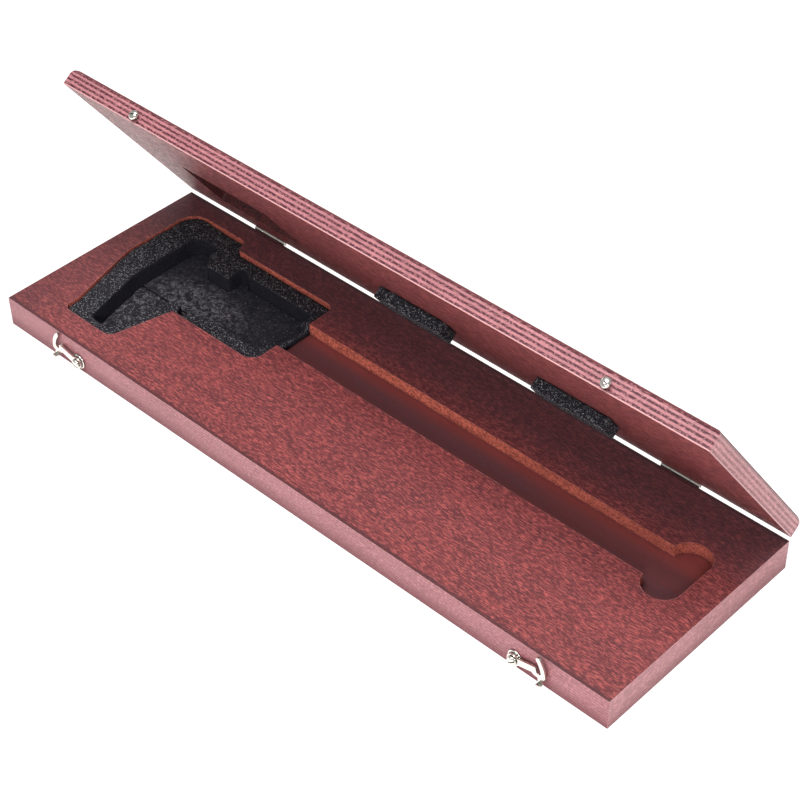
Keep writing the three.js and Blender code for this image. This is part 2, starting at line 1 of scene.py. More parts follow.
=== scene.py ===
"""Fitted wooden case for a long dial caliper, its lid part open: stained plywood boards, a nest
and lid pads of cut black foam, nickel hooks and hinges. Metres; +X right, +Y back, +Z up."""

import json
from math import pi, radians

import bmesh
import bpy
from mathutils import Matrix, Vector, noise

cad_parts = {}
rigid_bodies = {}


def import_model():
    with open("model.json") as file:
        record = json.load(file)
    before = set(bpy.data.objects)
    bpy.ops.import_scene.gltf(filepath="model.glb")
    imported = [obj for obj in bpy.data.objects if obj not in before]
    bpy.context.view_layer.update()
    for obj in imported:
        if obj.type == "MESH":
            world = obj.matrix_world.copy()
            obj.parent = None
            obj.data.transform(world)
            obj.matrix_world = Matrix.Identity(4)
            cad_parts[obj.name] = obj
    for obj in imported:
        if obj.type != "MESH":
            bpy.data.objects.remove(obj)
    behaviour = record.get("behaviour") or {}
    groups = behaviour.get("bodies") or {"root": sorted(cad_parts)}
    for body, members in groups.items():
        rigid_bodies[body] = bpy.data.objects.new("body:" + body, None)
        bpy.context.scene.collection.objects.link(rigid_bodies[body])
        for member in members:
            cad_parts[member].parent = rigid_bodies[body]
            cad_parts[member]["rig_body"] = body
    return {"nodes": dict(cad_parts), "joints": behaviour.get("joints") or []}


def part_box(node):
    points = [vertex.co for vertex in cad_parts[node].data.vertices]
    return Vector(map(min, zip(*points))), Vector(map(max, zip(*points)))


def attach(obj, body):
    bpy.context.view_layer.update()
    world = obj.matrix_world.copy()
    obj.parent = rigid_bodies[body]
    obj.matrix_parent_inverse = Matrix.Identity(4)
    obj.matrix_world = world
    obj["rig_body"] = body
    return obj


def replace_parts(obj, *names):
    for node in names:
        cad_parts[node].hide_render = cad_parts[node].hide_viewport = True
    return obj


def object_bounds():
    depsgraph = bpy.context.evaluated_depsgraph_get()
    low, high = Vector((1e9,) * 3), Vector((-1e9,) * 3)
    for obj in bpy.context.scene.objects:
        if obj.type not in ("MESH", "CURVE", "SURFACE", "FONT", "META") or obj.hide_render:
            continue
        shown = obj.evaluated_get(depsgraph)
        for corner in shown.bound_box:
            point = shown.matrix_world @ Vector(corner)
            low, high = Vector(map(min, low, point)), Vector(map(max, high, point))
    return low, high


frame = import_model()
case_low, case_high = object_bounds()

MM = 0.001

# ---------- places taken from the frame ----------
BOARD_LOW, BOARD_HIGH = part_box("base_board")
BOARD_TOP = BOARD_HIGH.z
LID_HINGE = next(j for j in frame["joints"] if j["name"] == "lid_hinge")
HINGE_PIN = Vector(LID_HINGE["pos_m"])
LID_TILT = radians(LID_HINGE["range_deg"][0])  # how far the lid stands open, about -X
SLOT_BACK = BOARD_HIGH.y - 41.6 * MM  # back wall of the beam slot
SHUT_GAP = 0.3 * MM  # between the boards when the lid is shut
LID_INNER_FACE = BOARD_TOP + SHUT_GAP - HINGE_PIN.z  # above the pin when the lid is shut
UP = Vector((0, 0, 1))

# ---------- sizes of the finish ----------
MERGE_GAP = 0.002 * MM  # corners of a CAD mesh nearer than this are one corner
FLAT_ANGLE = radians(0.6)  # faces that turn less than this are one face
BOARD_ARRIS = 0.4 * MM  # softened edges of the boards
FACE_DEPTH = 0.6 * MM  # a face this near the top or bottom of a board is veneered
EDGE_DEPTH = 2.2 * MM  # a wall this near the rim of a board is a sawn edge
PLY_PITCH = 2.65 * MM  # one light and one dark ply of the lid board
CASE_PLY_PITCH = 1.9 * MM
RAW_PLY = 0.6 * MM  # the lid's innermost ply, which took little stain
FINE_FLECK = (2.7 * MM, 0.42 * MM)  # length and width
LONG_FLECK = (5 * MM, 0.9 * MM)
SURROUND_VOXEL = 0.8 * MM
FOAM_VOXEL = 0.6 * MM
FOAM_CELL = 0.7 * MM
FOAM_RAGGED = 0.16 * MM  # how far the cut foam wanders from a true face
SWELL = 2 * MM  # how far the surround bulges up at its left wall, where it is pressed in
SWELL_RUN = 40 * MM  # how far from that wall the bulge reaches
FITTING_EDGES = {
    "hook": 0.22 * MM, "washer": 0.14 * MM, "screw": 0.16 * MM, "leaf": 0.14 * MM, "pin": 0.14 * MM,
}
CRUMB_SIZE = 0.3 * MM
CRUMBS_ON_NEST, CRUMBS_ON_FLOOR, CRUMBS_ON_PADS = 110000.0, 30000.0, 200000.0  # to a square metre
FIBRE_SPACING, FIBRE_LENGTH, FIBRE_RADIUS = 0.16 * MM, 0.9 * MM, 0.05 * MM
SEED = 7

# ---------- colours ----------
TOP_STAIN_DARK = (0.055, 0.015, 0.02, 1)
TOP_STAIN = (0.125, 0.023, 0.027, 1)
TOP_FLECK = (0.47, 0.11, 0.1, 1)
# painted shade: the greyer colour the top takes under the open lid
TOP_LID_SHADE = (0.105, 0.07, 0.086, 1)
EDGE_STAIN_DARK = (0.12, 0.014, 0.022, 1)
EDGE_FLECK = (0.42, 0.178, 0.192, 1)
# the case's sawn ends are lighter than its front and back edges: painted light
LIT_END_STAIN_DARK = (0.19, 0.05, 0.058, 1)
LIT_END_FLECK = (0.5, 0.22, 0.235, 1)
PLY_DARK = (0.062, 0.011, 0.021, 1)
PLY_LIGHT = (0.375, 0.152, 0.162, 1)
# the lid's sawn ends are lighter than its front and back edges: painted light
LIT_PLY_END_DARK = (0.2, 0.068, 0.078, 1)
LIT_PLY_END_LIGHT = (0.5, 0.205, 0.215, 1)
PLY_RAW = (0.54, 0.29, 0.29, 1)
ROUTED_DARK = (0.13, 0.026, 0.024, 1)
ROUTED_WALL = (0.8, 0.2, 0.13, 1)
# the slot floor, kept dark as painted shadow of its front wall, and a brighter strip along its back wall:
# painted light
ROUTED_FLOOR_SHADED = (0.085, 0.031, 0.038, 1)
ROUTED_FLOOR_LIT = (0.21, 0.042, 0.04, 1)
LID_ROUTED = (0.16, 0.036, 0.038, 1)
SHADED_CUT = (0.02, 0.009, 0.011, 1)
FOAM_BLACK = (0.006, 0.006, 0.009, 1)
FOAM_WALL = (0.022, 0.021, 0.028, 1)
FOAM_SIDE = (0.022, 0.022, 0.031, 1)
FOAM_SPARKLE = (0.36, 0.36, 0.37, 1)
FOAM_DUST = (0.3, 0.29, 0.33, 1)
FRAYED_TAN = (0.3, 0.27, 0.25, 1)
NICKEL = (0.74, 0.71, 0.65, 1)
NICKEL_DULL = (0.36, 0.33, 0.3, 1)
NICKEL_RUBBED = (0.95, 0.93, 0.89, 1)
# painted shade in the crevices of the fittings
CREVICE_SHADE_BLACK = (0.05, 0.04, 0.035, 1)
WHITE = (1, 1, 1, 1)
FLOOR_WHITE = (0.88, 0.88, 0.88, 1)

# ---------- light and camera ----------
FLOOR_DROP = 0.4 * MM  # the floor lies this far under the case
FLOOR_GLOW = 0.2
FLOOR_SEEN = 1.25  # how bright the floor looks to the camera itself
ROOM_LIGHT = 0.45
ROOM_SEEN = 1.1
CAMERA_PLACE = (0.57743, -0.56907, 0.73709)
CAMERA_ACROSS = (0.72487, 0.68873, -0.01504)
CAMERA_UPWARD = (-0.44591, 0.48572, 0.75183)
CAMERA_LENS = 90.55


# ---------- building node trees ----------
def add(tree, kind, inputs=(), **settings):
    """Adds a node. inputs pairs a socket's name or number with a value or with another socket."""
    made = tree.nodes.new(kind)
    for name, value in settings.items():
        setattr(made, name, value)
    for name, value in dict(inputs).items():
        if isinstance(value, bpy.types.NodeSocket):
            tree.links.new(value, made.inputs[name])
        else:
            made.inputs[name].default_value = value
    return made


def maths(tree, operation, a, b=0.0):
    """One sum in a node tree, of shaders or of geometry."""
    return add(tree, "ShaderNodeMath", {0: a, 1: b}, operation=operation).outputs[0]


def ramp(tree, value, low, high, to_low=0.0, to_high=1.0):
    """value stretched from low..high to 0..1 (or the given ends), with soft shoulders."""
    inputs = {"Value": value, "From Min": low, "From Max": high, "To Min": to_low, "To Max": to_high}
    return add(tree, "ShaderNodeMapRange", inputs, interpolation_type="SMOOTHSTEP").outputs[0]


def noise_at(tree, vector, scale, detail, **more):
    """Even noise, from about 0.3 to 0.7."""
    inputs = {"Vector": vector, "Scale": scale, "Detail": detail, **more}
    return add(tree, "ShaderNodeTexNoise", inputs).outputs["Fac"]


def part_of(tree, vector, axis):
    return add(tree, "ShaderNodeSeparateXYZ", {0: vector}).outputs[axis]


def blend_colour(tree, share, a, b):
    """Colour a with a share of colour b laid over it."""
    inputs = {0: share, 6: a, 7: b}
    return add(tree, "ShaderNodeMix", inputs, data_type="RGBA", clamp_factor=True).outputs[2]


def lay_over(tree, mask, strength, colour, over):
    """colour with another laid over it where the mask is, at the given strength."""
    return blend_colour(tree, maths(tree, "MULTIPLY", mask, strength), colour, over)


def new_group(name, inputs, outputs):
    """A shader node group. inputs gives each socket's name and default, outputs their names."""
    tree = bpy.data.node_groups.new(name, "ShaderNodeTree")
    for label, default in inputs.items():
        kind = "NodeSocketVector" if default is None else "NodeSocketFloat"
        socket = tree.interface.new_socket(label, in_out="INPUT", socket_type=kind)
        if default is not None:
            socket.default_value = default
    for label in outputs:
        tree.interface.new_socket(label, in_out="OUTPUT", socket_type="NodeSocketFloat")
    return tree, tree.nodes.new("NodeGroupInput").outputs, tree.nodes.new("NodeGroupOutput").inputs


def use(tree, group, **values):
    """Places a group in a material. Underscores in the names stand for spaces."""
    made = add(tree, "ShaderNodeGroup", node_tree=group)
    for label, value in values.items():
        socket = made.inputs[label.replace("_", " ")]
        if isinstance(value, bpy.types.NodeSocket):
            tree.links.new(value, socket)
        else:
            socket.default_value = value
    return made.outputs


# ---------- effects that several finishes share ----------
def make_wood_grain():
    """Short flecks, fine open pores and slow changes of tone, all lying along X."""
    tree, given, out = new_group(
        "wood_grain",
        {"Vector": None, "Fleck Length": 3 * MM, "Fleck Width": 0.7 * MM, "Tone Length": 60 * MM},
        ["Fleck", "Pore", "Tone", "Height"],
    )
    inputs = {"Vector": given["Vector"], "Scale": 60, "Detail": 1}
    wander = add(tree, "ShaderNodeTexNoise", inputs).outputs["Color"]
    inputs = {0: wander, 1: (0.5, 0.5, 0.5)}
    sway = add(tree, "ShaderNodeVectorMath", inputs, operation="SUBTRACT").outputs[0]
    inputs = {0: sway, 1: (1 * MM, 0.8 * MM, 0.3 * MM), 2: given["Vector"]}
    swayed = add(tree, "ShaderNodeVectorMath", inputs, operation="MULTIPLY_ADD").outputs[0]

    def lying(length, width, detail, roughness):
        along = maths(tree, "DIVIDE", 1, length)
        across = maths(tree, "DIVIDE", 1, width)
        stretch = add(tree, "ShaderNodeCombineXYZ", {0: along, 1: across, 2: across}).outputs[0]
        place = add(tree, "ShaderNodeVectorMath", {0: swayed, 1: stretch}, operation="MULTIPLY")
        return noise_at(tree, place.outputs[0], 1, detail, Roughness=roughness)

    fleck = lying(given["Fleck Length"], given["Fleck Width"], 2, 0.6)
    pore = lying(maths(tree, "MULTIPLY", given["Fleck Length"], 2.6), 0.42 * MM, 1, 0.5)
    tone = lying(given["Tone Length"], maths(tree, "DIVIDE", given["Tone Length"], 7), 3, 0.6)
    tree.links.new(ramp(tree, fleck, 0.47, 0.64), out["Fleck"])
    pit = ramp(tree, pore, 0.42, 0.3)
    tree.links.new(pit, out["Pore"])
    tree.links.new(ramp(tree, tone, 0.3, 0.7), out["Tone"])
    tree.links.new(maths(tree, "SUBTRACT", fleck, maths(tree, "MULTIPLY", pit, 0.5)), out["Height"])
    return tree


def make_ply_bands():
    """Light and dark plies through a board. Height is measured through the board from a light ply."""
    tree, given, out = new_group(
        "ply_bands", {"Vector": None, "Height": 0.0, "Pitch": PLY_PITCH, "Wander": 0.12 * MM}, ["Light"],
    )
    rough = noise_at(tree, given["Vector"], 130, 3, Roughness=0.7)
    shift = maths(tree, "MULTIPLY", maths(tree, "SUBTRACT", rough, 0.5), given["Wander"])
    turns = maths(tree, "DIVIDE", maths(tree, "ADD", given["Height"], shift), given["Pitch"])
    wave = maths(tree, "COSINE", maths(tree, "MULTIPLY", turns, 2 * pi))
    tree.links.new(ramp(tree, wave, -0.55, 0.5), out["Light"])
    return tree


def break_up(tree, given, scale, detail, low, high):
    """A mask that keeps some patches whole and fades the rest by the group's Patchy value."""
    patches = ramp(tree, noise_at(tree, given["Vector"], scale, detail), low, high)
    bare = maths(tree, "SUBTRACT", 1, patches)
    return maths(tree, "SUBTRACT", 1, maths(tree, "MULTIPLY", given["Patchy"], bare))


def make_edge_rub():
    """Where an edge is rubbed: full on the arris and nothing on the open face."""
    tree, given, out = new_group("edge_rub", {"Vector": None, "Reach": 0.6 * MM, "Patchy": 0.5}, ["Rub"])
    eased = add(tree, "ShaderNodeBevel", {"Radius": given["Reach"]}, samples=4).outputs[0]
    flat = add(tree, "ShaderNodeNewGeometry").outputs["Normal"]
    turn = add(tree, "ShaderNodeVectorMath", {0: eased, 1: flat}, operation="DOT_PRODUCT")
    edge = ramp(tree, turn.outputs["Value"], 0.995, 0.86)
    kept = break_up(tree, given, 420, 3, 0.35, 0.65)
    tree.links.new(maths(tree, "MULTIPLY", edge, kept), out["Rub"])
    return tree


def make_painted_corner_shade():
    """Painted shade: darker in the corners and behind the fittings, where less light reaches."""
    tree, given, out = new_group("corner_grime", {"Reach": 2 * MM, "Strength": 1.0}, ["Grime"])
    inputs = {"Distance": given["Reach"]}
    open_sky = add(tree, "ShaderNodeAmbientOcclusion", inputs, samples=6).outputs["AO"]
    shut_in = ramp(tree, open_sky, 0.85, 0.25)
    tree.links.new(maths(tree, "MULTIPLY", shut_in, given["Strength"]), out["Grime"])
    return tree


def make_proud_rim():
    """Where a soft block's own rim stands proud: for finely meshed pieces with eased edges."""
    tree, given, out = new_group("proud_rim", {"Vector": None, "Patchy": 0.4}, ["Rim"])
    sharp = add(tree, "ShaderNodeNewGeometry").outputs["Pointiness"]
    kept = break_up(tree, given, 500, 2, 0.4, 0.6)
    tree.links.new(maths(tree, "MULTIPLY", ramp(tree, sharp, 0.535, 0.6), kept), out["Rim"])
    return tree


def make_foam_cells():
    """Open cells of cut foam: small dark pits, and a share of the cell walls that catch the light."""
    tree, given, out = new_group(
        "foam_cells",
        {"Vector": None, "Cell": FOAM_CELL, "Sparkle Share": 0.3},
        ["Wall", "Sparkle", "Height"],
    )
    scale = maths(tree, "DIVIDE", 1, given["Cell"])
    inputs = {"Vector": given["Vector"], "Scale": scale, "Randomness": 1}
    cells = add(tree, "ShaderNodeTexVoronoi", inputs)
    pit = ramp(tree, cells.outputs["Distance"], 0.15, 0.75)
    pick = add(tree, "ShaderNodeSeparateColor", {0: cells.outputs["Color"]}).outputs[0]
    fine = noise_at(tree, given["Vector"], maths(tree, "MULTIPLY", scale, 1.9), 1)
    glint = ramp(tree, fine, 0.5, 0.66)
    start = maths(tree, "SUBTRACT", 1.05, given["Sparkle Share"])
    chosen = ramp(tree, pick, start, maths(tree, "ADD", start, 0.1))
    tree.links.new(pit, out["Wall"])
    tree.links.new(maths(tree, "MULTIPLY", chosen, glint), out["Sparkle"])
    tree.links.new(maths(tree, "ADD", pit, maths(tree, "MULTIPLY", glint, 0.5)), out["Height"])
    return tree


def make_dust():
    """Cloudy film of dust, heavier where the cloud is thick."""
    tree, given, out = new_group("dust", {"Vector": None, "Cloud": 14 * MM, "Cover": 0.4}, ["Dust"])
    scale = maths(tree, "DIVIDE", 1, given["Cloud"])
    cloud = noise_at(tree, given["Vector"], scale, 6, Roughness=0.72, Distortion=0.6)
    start = maths(tree, "SUBTRACT", 0.85, maths(tree, "MULTIPLY", given["Cover"], 0.6))
    thick = ramp(tree, cloud, start, maths(tree, "ADD", start, 0.22))
    grit = ramp(tree, noise_at(tree, given["Vector"], 1100, 2, Roughness=0.8), 0.38, 0.6, 0.15, 1)
    tree.links.new(maths(tree, "MULTIPLY", thick, grit), out["Dust"])
    return tree


WOOD_GRAIN = make_wood_grain()
PLY_BANDS = make_ply_bands()
EDGE_RUB = make_edge_rub()
PAINTED_CORNER_SHADE = make_painted_corner_shade()
PROUD_RIM = make_proud_rim()
FOAM_CELLS = make_foam_cells()
DUST = make_dust()


# ---------- finishes ----------
def new_finish(name, roughness, **constants):
    """A material with its Principled shader, whose steady values are set on its own sockets."""
    material = bpy.data.materials.new(name)
    material.use_nodes = True
    tree = material.node_tree
    tree.nodes.clear()
    shader = add(tree, "ShaderNodeBsdfPrincipled", {"Roughness": roughness})
    for label, value in constants.items():
        shader.inputs[label.replace("_", " ")].default_value = value
    add(tree, "ShaderNodeOutputMaterial", {"Surface": shader.outputs[0]})
    return material, tree, shader


def case_space(tree):
    """Object coordinates of the base, from the centre of its underside."""
    place = add(tree, "ShaderNodeTexCoord").outputs["Object"]
    return add(tree, "ShaderNodeMapping", {"Vector": place}).outputs[0]


def lid_space(tree):
    """The same for the lid, turned so that the board lies flat and the hinge pin is the origin."""
    place = add(tree, "ShaderNodeTexCoord").outputs["Object"]
    shut = Matrix.Rotation(-LID_TILT, 3, "X")
    inputs = {"Vector": place, "Location": shut @ -HINGE_PIN, "Rotation": (-LID_TILT, 0, 0)}
    return add(tree, "ShaderNodeMapping", inputs).outputs[0]


def turned(space):
    """The same space with its grain lying across the board, for the sawn ends."""

    def across(tree):
        inputs = {"Vector": space(tree), "Rotation": (0, 0, pi / 2)}
        return add(tree, "ShaderNodeMapping", inputs).outputs[0]

    return across


def give_bump(tree, shader, height, strength, distance):
    inputs = {"Height": height, "Strength": strength, "Distance": distance}
    tree.links.new(add(tree, "ShaderNodeBump", inputs).outputs[0], shader.inputs["Normal"])


def face_veneer(name, space, fleck_size, shade_line=0.0, lid_shade=0.0, roughness=0.42):
    """Stained face veneer with short bright flecks and fine pores. shade_line is the width of a band
    of painted shade along the front and back, and brings painted shade towards the left end too.
    The value after it is how grey it turns towards the hinges: painted shade under the open lid."""
    dark = TOP_STAIN_DARK
    material, tree, shader = new_finish(name, roughness, Specular_IOR_Level=0.45)
    place = space(tree)
    grain = use(tree, WOOD_GRAIN, Vector=place, Fleck_Length=fleck_size[0], Fleck_Width=fleck_size[1])
    rub = use(tree, EDGE_RUB, Vector=place, Reach=0.7 * MM, Patchy=0.8)["Rub"]
    corner_shade_mask = use(tree, PAINTED_CORNER_SHADE, Reach=3 * MM, Strength=0.5)["Grime"]
    colour = blend_colour(tree, ramp(tree, grain["Tone"], 0, 1, 0.62, 1), dark, TOP_STAIN)
    colour = lay_over(tree, grain["Fleck"], 0.8, colour, TOP_FLECK)
    colour = lay_over(tree, grain["Pore"], 0.55, colour, dark)
    # painted shade: greyer towards the hinges, where the open lid shades the top
    if lid_shade:
        film = ramp(tree, part_of(tree, place, 1), BOARD_HIGH.y * 0.3, BOARD_HIGH.y * 0.75)
        colour = lay_over(tree, film, lid_shade, colour, TOP_LID_SHADE)
    # painted shade: a dark band along the front and back edges
    if shade_line:
        across = maths(tree, "ABSOLUTE", part_of(tree, place, 1))
        edge = ramp(tree, across, BOARD_HIGH.y - shade_line, BOARD_HIGH.y - shade_line * 0.4)
        colour = lay_over(tree, edge, 0.8, colour, dark)
        # painted shade: darker towards the left end
        left = ramp(tree, part_of(tree, place, 0), BOARD_LOW.x + 45 * MM, BOARD_LOW.x)
        colour = lay_over(tree, left, 0.45, colour, dark)
    colour = lay_over(tree, rub, 0.6, colour, PLY_RAW)
    # painted shade: darker in the corners and behind the fittings
    colour = blend_colour(tree, corner_shade_mask, colour, dark)
    tree.links.new(colour, shader.inputs["Base Color"])
    dull = ramp(tree, grain["Fleck"], 0, 1, roughness + 0.1, roughness - 0.06)
    tree.links.new(dull, shader.inputs["Roughness"])
    give_bump(tree, shader, grain["Height"], 0.35, 0.25 * MM)
    return material


def ply_edge(name, space, face, pitch, contrast, dark, light, raw=0.0, floor_shade=0.0, roughness=0.4):
    """Sawn and stained edge of plywood: bands of light and dark plies under a satin film.
    The plies are counted from face, the height of one of the board's faces. raw is the thickness
    of a paler, barely stained ply there, and the value after it is how strongly painted shade
    darkens the colour towards that face."""
    material, tree, shader = new_finish(name, roughness, Specular_IOR_Level=0.35)
    place = space(tree)
    height = maths(tree, "SUBTRACT", part_of(tree, place, 2), face)
    bands = use(tree, PLY_BANDS, Vector=place, Height=height, Pitch=pitch, Wander=0.5 * MM)
    grain = use(
        tree, WOOD_GRAIN, Vector=place, Fleck_Length=1.8 * MM, Fleck_Width=1 * MM, Tone_Length=35 * MM
    )
    rub = use(tree, EDGE_RUB, Vector=place, Reach=0.8 * MM, Patchy=0.5)["Rub"]
    corner_shade_mask = use(tree, PAINTED_CORNER_SHADE, Reach=3 * MM, Strength=0.6)["Grime"]
    plain = blend_colour(tree, 0.62, dark, light)
    colour = blend_colour(tree, bands["Light"], dark, light)
    colour = blend_colour(tree, contrast, plain, colour)
    paler = tuple(min(c * 1.5, 1) for c in light)
    colour = lay_over(tree, grain["Fleck"], 0.5, colour, paler)
    colour = lay_over(tree, grain["Pore"], 0.5, colour, dark)
    colour = lay_over(tree, grain["Tone"], 0.2, colour, dark)
    # painted shade: darker towards the face the plies are counted from, the underside of the case
    if floor_shade:
        colour = lay_over(tree, ramp(tree, height, 13 * MM, -1 * MM), floor_shade, colour, dark)
    if raw:
        colour = blend_colour(tree, ramp(tree, height, raw * 1.25, raw * 0.75), colour, PLY_RAW)
    colour = lay_over(tree, rub, 0.7, colour, light)
    # painted shade: darker in the corners and behind the fittings
    colour = blend_colour(tree, corner_shade_mask, colour, dark)
    tree.links.new(colour, shader.inputs["Base Color"])
    dull = ramp(tree, bands["Light"], 0, 1, roughness + 0.08, roughness - 0.04)
    tree.links.new(dull, shader.inputs["Roughness"])
    relief = maths(tree, "MULTIPLY", bands["Light"], 0.35 * contrast)
    give_bump(tree, shader, maths(tree, "ADD", relief, grain["Height"]), 0.3, 0.3 * MM)
    return material


def routed_wood(name, space, walls, light, back=None):
    """Wood left by the router: open speckled end grain on walls, long soft streaks on floors.
    back is a brighter, redder colour for a slot's floor along its back wall: painted light, with the
    rest of the floor left darker as painted shadow of the slot's front wall."""
    material, tree, shader = new_finish(name, 0.6, Specular_IOR_Level=0.3)
    place = space(tree)
    length, width, run = (0.8 * MM, 0.6 * MM, 20 * MM) if walls else (4 * MM, 0.5 * MM, 90 * MM)
    grain = use(
        tree, WOOD_GRAIN, Vector=place, Fleck_Length=length, Fleck_Width=width, Tone_Length=run
    )
    if back:
        # painted light: brighter and redder towards the back wall, the rest of the floor painted shadow
        lit_back_strip = ramp(tree, part_of(tree, place, 1), SLOT_BACK - 11 * MM, SLOT_BACK - 1 * MM)
        light = blend_colour(tree, lit_back_strip, light, back)
    colour = blend_colour(tree, ramp(tree, grain["Tone"], 0, 1, 0.55, 0.95), ROUTED_DARK, light)
    if walls:
        height = part_of(tree, place, 2)
        bands = use(tree, PLY_BANDS, Vector=place, Height=height, Pitch=2.4 * MM, Wander=0.7 * MM)
        colour = lay_over(tree, bands["Light"], 0.3, colour, light)
        speck = ramp(tree, noise_at(tree, place, 900, 2, Roughness=0.8), 0.46, 0.58)
        colour = lay_over(tree, speck, 0.8, colour, ROUTED_DARK)
        # painted shade: the routed walls darker from the middle towards the right end
        right = ramp(tree, part_of(tree, place, 0), 0, BOARD_HIGH.x * 0.8)
        colour = lay_over(tree, right, 0.45, colour, ROUTED_DARK)
    colour = lay_over(tree, grain["Pore"], 0.7, colour, ROUTED_DARK)
    colour = lay_over(tree, grain["Fleck"], 0.45, colour, light if walls else ROUTED_DARK)
    corner_shade_mask = use(tree, PAINTED_CORNER_SHADE, Reach=4 * MM, Strength=0.6)["Grime"]
    # painted shade: darker in the corners of the routed slot and recess
    colour = blend_colour(tree, corner_shade_mask, colour, TOP_STAIN_DARK)
    tree.links.new(colour, shader.inputs["Base Color"])
    tree.links.new(ramp(tree, grain["Fleck"], 0, 1, 0.7, 0.5), shader.inputs["Roughness"])
    give_bump(tree, shader, grain["Height"], 0.6 if walls else 0.3, 0.35 * MM)
    return material


def foam_finish(name, space, sparkle_share, dust_cover, rim, wall=FOAM_WALL, dust_oval=None):
    """Cut black foam: pitted cells, bright cell walls here and there, and a pale frayed rim.
    The last value is the centre and reach of an oval in which the dust lies full; outside it the
    dust thins to about an eighth."""
    material, tree, shader = new_finish(name, 0.9, Specular_IOR_Level=0.2)
    place = space(tree)
    cells = use(tree, FOAM_CELLS, Vector=place, Cell=FOAM_CELL, Sparkle_Share=sparkle_share)
    film = use(tree, DUST, Vector=place, Cloud=3.4 * MM, Cover=dust_cover)["Dust"]
    edge = use(tree, PROUD_RIM, Vector=place, Patchy=0.4)["Rim"]
    if dust_oval:
        centre, reach = dust_oval
        middle = [-c / r for c, r in zip(centre, reach)]
        inputs = {"Vector": place, "Location": middle, "Scale": [1 / r for r in reach]}
        oval = add(tree, "ShaderNodeMapping", inputs).outputs[0]
        away = add(tree, "ShaderNodeVectorMath", {0: oval}, operation="LENGTH").outputs["Value"]
        film = maths(tree, "MULTIPLY", film, ramp(tree, away, 1.15, 0.25, 0.12, 1))
    colour = blend_colour(tree, cells["Wall"], FOAM_BLACK, wall)
    colour = lay_over(tree, film, 0.75, colour, FOAM_DUST)
    colour = blend_colour(tree, cells["Sparkle"], colour, FOAM_SPARKLE)
    colour = lay_over(tree, edge, rim, colour, FRAYED_TAN)
    tree.links.new(colour, shader.inputs["Base Color"])
    tree.links.new(ramp(tree, cells["Sparkle"], 0, 1, 0.95, 0.45), shader.inputs["Roughness"])
    give_bump(tree, shader, cells["Height"], 0.7, 0.4 * MM)
    return material


def nickel_finish(name, space):
    """Bright nickel plate, dulled a little by handling, with painted shade where it meets the wood."""
    material, tree, shader = new_finish(name, 0.2, Metallic=1.0)
    place = space(tree)
    smear = use(tree, DUST, Vector=place, Cloud=3 * MM, Cover=0.6)["Dust"]
    rub = use(tree, EDGE_RUB, Vector=place, Reach=0.25 * MM, Patchy=0.3)["Rub"]
    corner_shade_mask = use(tree, PAINTED_CORNER_SHADE, Reach=1.6 * MM, Strength=0.9)["Grime"]
    colour = lay_over(tree, smear, 0.35, NICKEL, NICKEL_DULL)
    colour = blend_colour(tree, rub, colour, NICKEL_RUBBED)
    # painted shade: near black where the fitting meets the wood
    colour = blend_colour(tree, corner_shade_mask, colour, CREVICE_SHADE_BLACK)
    tree.links.new(colour, shader.inputs["Base Color"])
    dull = ramp(tree, maths(tree, "ADD", smear, corner_shade_mask), 0, 1.2, 0.16, 0.5)
    tree.links.new(dull, shader.inputs["Roughness"])
    scratches = use(tree, WOOD_GRAIN, Vector=place, Fleck_Length=2 * MM, Fleck_Width=0.12 * MM)["Fleck"]
    give_bump(tree, shader, scratches, 0.12, 0.05 * MM)
    return material


def plain_finish(name, colour, roughness):
    """Fibres and crumbs too fine for a pattern: one colour broken by a slow change of tone."""
    material, tree, shader = new_finish(name, roughness, Specular_IOR_Level=0.2)
    place = add(tree, "ShaderNodeTexCoord").outputs["Object"]
    tone = ramp(tree, noise_at(tree, place, 900, 2), 0.35, 0.65)
    darker = tuple(c * 0.3 for c in colour[:3]) + (1,)
    tree.links.new(blend_colour(tree, tone, darker, colour), shader.inputs["Base Color"])
    return material


# The case top carries painted shade at its front and back edges, its left end and its hinge side.
CASE_TOP = face_veneer("case_top_veneer", case_space, FINE_FLECK, shade_line=3 * MM, lid_shade=0.4)
CASE_EDGE = ply_edge(
    "case_ply_edge", case_space, 0, CASE_PLY_PITCH, 0.2, EDGE_STAIN_DARK, EDGE_FLECK, floor_shade=0.85
)
# painted light: the case's sawn ends take lighter colours than its edges
CASE_END_LIT = ply_edge(
    "case_ply_end", turned(case_space), 0, CASE_PLY_PITCH, 0.25, LIT_END_STAIN_DARK, LIT_END_FLECK, floor_shade=0.6
)
CASE_ROUTED_WALL = routed_wood("case_routed_wall", case_space, True, ROUTED_WALL)
CASE_ROUTED_FLOOR = routed_wood("case_routed_floor", case_space, False, ROUTED_FLOOR_SHADED, back=ROUTED_FLOOR_LIT)
LID_FACE = face_veneer("lid_inner_veneer", lid_space, LONG_FLECK)
LID_OUTER_FACE = face_veneer("lid_outer_veneer", lid_space, FINE_FLECK)
LID_EDGE = ply_edge(
    "lid_ply_edge", lid_space, LID_INNER_FACE, PLY_PITCH, 1.0, PLY_DARK, PLY_LIGHT, raw=RAW_PLY
)
# painted light: the lid's sawn ends take lighter colours than its edges
LID_END_LIT = ply_edge(
    "lid_ply_end", turned(lid_space), LID_INNER_FACE, PLY_PITCH, 0.7, LIT_PLY_END_DARK, LIT_PLY_END_LIGHT,
    raw=RAW_PLY,
)
# painted shade: the walls of the lid's recess are near black
LID_ROUTED_WALL_SHADED = routed_wood("lid_routed_wall", lid_space, True, SHADED_CUT)
LID_ROUTED_FLOOR = routed_wood("lid_routed_floor", lid_space, False, LID_ROUTED)
